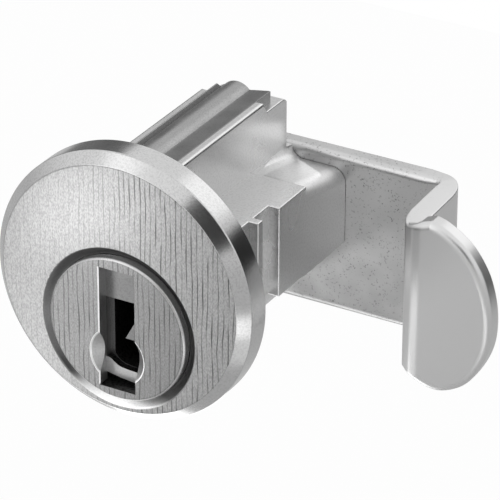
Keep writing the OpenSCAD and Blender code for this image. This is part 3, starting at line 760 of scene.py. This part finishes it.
def buildCam():  # rings from the front face over the edge to the back, and two faces with the hole
    c = cam
    t = c["thickness"]
    back = c["backEdge"]
    rim = camRim()
    count = len(rim)
    points = []
    faces = []

    def put(s, z, off, fall=None):  # adds the point that lies off in front of the sheet's middle
        x, y, way = camPath(s) if s > 0 else (s, camHigh.y - t / 2, 0.0)
        if fall is None:
            half, most, _ = camEdge(max(s, 0))
            fall = most * min(1, abs(z) / half) ** 4
        z -= math.copysign(fall * (0.5 - off / t), z)
        points.append((x + off * math.sin(way), y - off * math.cos(way), z + plugZ))
        return len(points) - 1

    def ring(place):  # place turns a roll into (inset, distance in front of the sheet's middle)
        made, flat = [], []
        for s, z, outS, outZ, fall, roll in rim:
            inset, off = place(roll)
            flat.append((s - outS * inset, z - outZ * inset))
            made.append(put(flat[-1][0], flat[-1][1], off, fall))
        return made, flat

    def rolled(a):
        return lambda roll: (roll * (1 - math.sin(a)), t / 2 - roll * (1 - math.cos(a)))

    steps = c["rollSteps"]
    places = [rolled(math.pi / 2 * i / steps) for i in range(steps + 1)]
    places += [lambda roll: (0.0, -t / 2 + back), lambda roll: (back * 0.3, -t / 2 + back * 0.3),
               lambda roll: (back, -t / 2)]
    rings = [ring(place) for place in places]
    for (a, _), (b, _) in zip(rings, rings[1:]):
        for i in range(count):
            j = (i + 1) % count
            faces.append((a[i], b[i], b[j], a[j]))
    hole = flatted(c["holeDia"], c["holeFlats"], 64)
    holeRings = [[put(s, z, off) for s, z in hole] for off in (t / 2, -t / 2)]
    n = len(hole)
    for i in range(n):
        j = (i + 1) % n
        faces.append((holeRings[0][i], holeRings[0][j], holeRings[1][j], holeRings[1][i]))
    # From the first bend to the tab, every stop has an edge across the sheet, so that the bends stay smooth
    first, last = c["roundSteps"] + c["plateSteps"], count - c["plateSteps"]
    pairs = [(first + k, last - k) for k in range(3 * c["bendSteps"] + len(c["neck"]) + 1)]
    for (known, flat), holeRing, off in ((rings[0], holeRings[0], t / 2), (rings[-1], holeRings[1], -t / 2)):
        spots = [Vector(p) for p in flat] + [Vector(p) for p in hole]
        edges = [(i, (i + 1) % count) for i in range(count)] + pairs
        edges += [(count + i, count + (i + 1) % n) for i in range(n)]
        placed, _, triangles, _, _, _ = delaunay_2d_cdt(spots, edges, [], 2, 1e-7)
        index = known + holeRing
        index += [put(spot.x, spot.y, off) for spot in placed[len(index):]]
        for tri in triangles:
            if not insideHole(sum((placed[k] for k in tri), Vector((0, 0))) / len(tri)):
                faces.append(tuple(index[k] for k in tri))
    return meshObject("cam", points, faces)


# Screw and lock washer behind the cam

screw = {
    "headR": 3.8, "headLength": 2.3, "headEdge": 0.9, "headSide": 1.4, "seatEdge": 0.1,
    "crownR": 1.8, "crownDrop": 0.06, "crownTop": 0.9, "threadR": 2.0, "tipEdge": 0.4,
    "crossHalf": 1.9, "crossWidth": 0.8, "crossDepth": 1.4,
}
washer = {"inner": 2.15, "gapAngle": 70, "gapHalf": 5, "edge": 0.08}


def buildScrew():
    c = screw
    r, thread, low, high = c["headR"], c["threadR"], screwLow.y, screwHigh.y
    under = high - c["headLength"]
    profile = [(0, low), (thread - c["tipEdge"], low), (thread, low + c["tipEdge"]), (thread, under),
               (r - c["seatEdge"], under), (r, under + c["seatEdge"])]
    profile += arc(r - c["headEdge"], under + c["headSide"], c["headEdge"], 0, 60, 8)
    profile += [(c["crownR"], high - c["crownDrop"]), (c["crownTop"], high), (0, high)]
    piece = turned("cam_screw", profile, 0, plugZ, 96)
    half, w = c["crossHalf"], c["crossWidth"] / 2
    bars = [prismY("bar", onPlug([(-x, -z), (x, -z), (x, z), (-x, z)]), high - c["crossDepth"], high + clear)
            for x, z in ((half, w), (w, half))]
    return combine(piece, bars, "DIFFERENCE")


def buildWasher():
    c = washer
    start, end = c["gapAngle"] + c["gapHalf"], c["gapAngle"] + 360 - c["gapHalf"]
    ring = arc(0, 0, washerHigh.x, start, end, 80) + arc(0, 0, c["inner"], end, start, 80)
    return roundEdges(prismY("lock_washer", onPlug(ring), washerLow.y, washerHigh.y), c["edge"], 2)


# Making the pieces. Each face is given its material by where it lies and which way it faces.

bodyRing = 12.247  # radius of the flat back of the bezel, inside its rounded rim
wingBand = 0.5  # height above the wing tops that still counts as cast
sloping = 0.2  # least upward part of a normal on the cast wing tops


def caseSurface(face):  # 0 plated body, 1 brushed face, 2 cove round the plug, 3 polished rim, 4 cast wings
    x, y, z = face.center / mm
    front = caseLow.y
    # Upward cast wing tops get the rougher cast finish, painted lighter as painted light
    if y > case["wingBack"] - near and z < case["wingTop"] + wingBand and face.normal.z > sloping:
        return 4
    if y > -near or y > front + 1.2 and math.hypot(x, z) < bodyRing:
        return 0
    # The cove gets painted shade, with a painted highlight at its bottom
    if math.hypot(x, z - plugZ) < case["coveR"] + case["coveLip"] - near:
        return 2
    return 1 if face.normal.y < -facing and y < front + near else 3


def plugSurface(face):  # 0 turned sides, 1 brushed face, 2 slot, 3 keyway, 4 sharp edges, 5 countersink, step
    x, y, z = face.center / mm
    z -= plugZ
    front, out = plugLow.y, math.hypot(x, z)
    step = front + plug["slotDepth"]
    if face.normal.y < -facing and y < front + near:
        return 1
    if out > plugBodyR + 0.4 or y > plug["keywayEnd"] + 0.2:
        return 0
    # Keyway faces get painted shadow
    if y > step + plug["mouthDepth"] + near or z < plug["slotBottom"] + near:
        return 3
    if z < plug["keywayFloor"] and y > step + near:
        return 3
    # Sharp edges near the front get a painted highlight
    if abs(face.normal.y) < 0.9 and y < front + plug["slotEdge"] and out < plugHeadR - 0.5:
        return 4
    if abs(face.normal.x) > 0.9 and y < step or face.normal.y < -0.9 and z < -4:
        return 5
    # The slot floor gets painted shade
    return 2 if abs(x) < plug["slotHalf"] + near else 5 if out < plugHeadR - 0.6 else 0


caseMetals = [metal["nickelPlatedZincCasting"], faceNickel, grooveNickel, metal["polishedNickelRim"],
              metal["rawCastingPaintedLight"]]
plugMetals = [metal["nickelPlatedZincPlug"], plugFaceNickel, metal["paintedShadeSlot"], metal["paintedShadowKeyway"],
              metal["paintedHighlightEdge"], metal["turnedNickelSink"]]
fastener = metal["zincPlatedScrewSteel"]

# How each piece is built, its node, slot and body, the angle above which an edge is sharp, and its materials
pieces = [
    (buildCase, "case", "case_metal", "case", 35, caseMetals, caseSurface),
    (buildPlug, "plug", "plug_metal", "plug", 35, plugMetals, plugSurface),
    (buildCover, "chamber_cover", "cover_metal", "case", 40, [metal["drawnPlatedStrip"]], None),
    (buildCam, "cam", "cam_steel", "plug", 60, [camZinc], None),
    (buildScrew, "cam_screw", "fastener_steel", "plug", 35, [fastener], None),
    (buildWasher, "lock_washer", "fastener_steel", "plug", 35, [fastener], None),
]
for build, node, slotName, body, sharpAbove, metals, choose in pieces:
    piece = finished(build(), node, body, sharpAbove)
    paint(piece, metals, choose)
    print(node, "done", len(piece.data.polygons))

# The pins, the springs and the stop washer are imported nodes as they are
packed = {"key_pin": metal["turnedBrass"], "driver_pin": metal["turnedBrass"],
          "pin_spring": metal["brightSpringWire"], "stop_washer": fastener}
for name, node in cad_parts.items():
    for start, look in packed.items():
        if name.startswith(start):
            paint(node, [look])
print("pins, springs and stop washer painted")


# Studio

studio = {
    "azimuth": 29.617, "elevation": 27.922, "roll": 0.158, "focal": 3800.1, "distance": 348.855,
    "originAt": (137.94, 275.12), "picture": 500, "sensor": 36, "nearest": 0.001,
    "lowTone": 0.7, "highTone": 1.15, "highAt": 0.45,  # room tone at and below the horizon, and above highAt
    "floorDrop": 30.0, "floorHalf": 150, "floorTone": 0.57, "floorGlow": 0.96,
}


def placeCamera():
    s = studio
    az, el, roll = (math.radians(s[k]) for k in ("azimuth", "elevation", "roll"))
    right = Vector((math.cos(az), math.sin(az), 0))
    back = Vector((math.sin(az) * math.cos(el), -math.cos(az) * math.cos(el), math.sin(el)))
    up = back.cross(right)
    rolledRight = right * math.cos(roll) + up * math.sin(roll)
    rolledUp = up * math.cos(roll) - right * math.sin(roll)
    x, y = ((at - s["picture"] / 2) * s["distance"] / s["focal"] for at in s["originAt"])
    eye = back * s["distance"] - rolledRight * x + rolledUp * y
    lens = bpy.data.cameras.new("camera")
    lens.sensor_width = s["sensor"]
    lens.lens = s["sensor"] * s["focal"] / s["picture"]
    lens.clip_start = s["nearest"]
    camera = bpy.data.objects.new("camera", lens)
    bpy.context.scene.collection.objects.link(camera)
    basis = Matrix((rolledRight, rolledUp, back)).transposed().to_4x4()
    basis.translation = eye * mm
    camera.matrix_world = basis
    bpy.context.scene.camera = camera


def softBox(name, place, size, glow, aim):
    light = bpy.data.lights.new(name, "AREA")
    light.shape = "RECTANGLE"
    light.size, light.size_y = size[0] * mm, size[1] * mm
    light.energy = glow * math.pi * light.size * light.size_y
    lamp = bpy.data.objects.new(name, light)
    bpy.context.scene.collection.objects.link(lamp)
    lamp.location = Vector(place) * mm
    lamp.rotation_euler = (Vector(aim) * mm - lamp.location).to_track_quat("-Z", "Y").to_euler()
    lamp.visible_camera = False


# Lamps: place, width and height, the lamp's own brightness (1 for white), and the point it is aimed at
lamps = {
    "lowRight": ((34, -58, -39), (34, 26), 1.2, (0, 0, 0)),  # right side of the shank, and the cam plate
    "underRight": ((40, -17, -38), (26, 20), 0.35, (12, -3, -4)),  # a patch of the bevel at the lower right
    "underneath": ((-8, 8, -40), (44, 20), 1.8, (-2, 0, -13)),  # bevel at the bottom
    "edgeRight": ((56, -33, -33), (16, 16), 1.5, (0, -3, -3)),  # a bright streak in the bevel on the right
    "faceGlow": ((-14, -22, -2), (11, 9), 2.4, (-4, -3.5, 7)),  # upper half of the brushed face
    "leftGlow": ((-46, -56, -38), (32, 24), 0.7, (-8, -3.5, -3)),  # left half of the face
    "lowGlow": ((-38, -44, -40), (22, 14), 3.2, (-9, -3.5, -12)),  # lower left of the face
    "rearGlow": ((6.5, 21.6, 4.8), (5, 3), 0.5, (3.4, 17.5, 6.5)),  # rear of the pin housing
}

# Panels on the studio's walls: direction from the lock, size and soft edge in degrees, brightness
panels = [
    ((-0.75, 0.65, 0.10), 16, 6, 0.20),
    ((-0.55, 0.76, 0.34), 8, 4, 0.15),
    ((0.62, 0.77, -0.04), 20, 5, 0.03),
    ((0.30, 0.77, 0.57), 13, 5, 1.7),
    ((-0.14, -0.55, 0.82), 26, 12, 1.25),
    ((-0.46, -0.80, 0.38), 14, 10, 2.0),
    ((-0.44, -0.56, 0.70), 11, 12, 1.8),
    ((0.56, -0.65, 0.50), 17, 3, 0.02),
]


def studioWorld():  # the camera sees plain white, and the metal mirrors a grey room with the panels
    world = bpy.data.worlds.new("studio")
    bpy.context.scene.world = world
    world.use_nodes = True
    tree = world.node_tree
    tree.nodes.clear()
    place = addNode(tree, "ShaderNodeTexCoord")
    way = addNode(tree, "ShaderNodeVectorMath", {"operation": "NORMALIZE"}, {0: place.outputs["Generated"]})
    parts = addNode(tree, "ShaderNodeSeparateXYZ", None, {"Vector": way.outputs[0]})
    tone = ramp(tree, parts.outputs["Z"], (0.0, studio["highAt"]), studio["lowTone"], studio["highTone"])
    for aim, size, soft, glow in panels:
        aim = tuple(Vector(aim).normalized())
        towards = addNode(tree, "ShaderNodeVectorMath", {"operation": "DOT_PRODUCT", 1: aim},
                          {0: way.outputs[0]})
        band = [math.cos(math.radians(a)) for a in (size + soft / 2, size - soft / 2)]
        share = ramp(tree, towards.outputs["Value"], band, 0.0, 1.0)
        mix = addNode(tree, "ShaderNodeMix", {"data_type": "FLOAT", 3: glow}, {0: share, 2: tone})
        tone = mix.outputs[0]
    room = addNode(tree, "ShaderNodeBackground", {"Strength": 1.0}, {"Color": tone})
    white = addNode(tree, "ShaderNodeBackground", {"Color": (1, 1, 1, 1), "Strength": 1.0})
    path = addNode(tree, "ShaderNodeLightPath")
    mix = addNode(tree, "ShaderNodeMixShader", None,
                  {0: path.outputs["Is Camera Ray"], 1: room.outputs[0], 2: white.outputs[0]})
    addNode(tree, "ShaderNodeOutputWorld", None, {"Surface": mix.outputs[0]})


def studioFloor():  # a table that lights the lock from below, and that the camera sees nearly white
    s = studio
    z, size = caseLow.z - s["floorDrop"], s["floorHalf"]
    floor = meshObject("studioFloor", [(-size, -size, z), (size, -size, z), (size, size, z), (-size, size, z)],
                       [(0, 1, 2, 3)])
    floor.data.transform(Matrix.Scale(mm, 4))
    material = bpy.data.materials.new("whiteTable")
    material.use_nodes = True
    tree = material.node_tree
    tree.nodes.clear()
    table = addNode(tree, "ShaderNodeBsdfDiffuse", {"Color": (s["floorTone"],) * 3 + (1,)})
    glow = addNode(tree, "ShaderNodeEmission", {"Color": (1, 1, 1, 1), "Strength": 1.0})
    path = addNode(tree, "ShaderNodeLightPath")
    share = addNode(tree, "ShaderNodeMath", {"operation": "MULTIPLY", 1: s["floorGlow"]},
                    {0: path.outputs["Is Camera Ray"]})
    mix = addNode(tree, "ShaderNodeMixShader", None,
                  {0: share.outputs[0], 1: table.outputs[0], 2: glow.outputs[0]})
    addNode(tree, "ShaderNodeOutputMaterial", None, {"Surface": mix.outputs[0]})
    floor.data.materials.append(material)


placeCamera()
studioWorld()
studioFloor()
for name, look in lamps.items():
    softBox(name, *look)
bpy.context.scene.view_settings.view_transform = "Standard"
print("studio done")
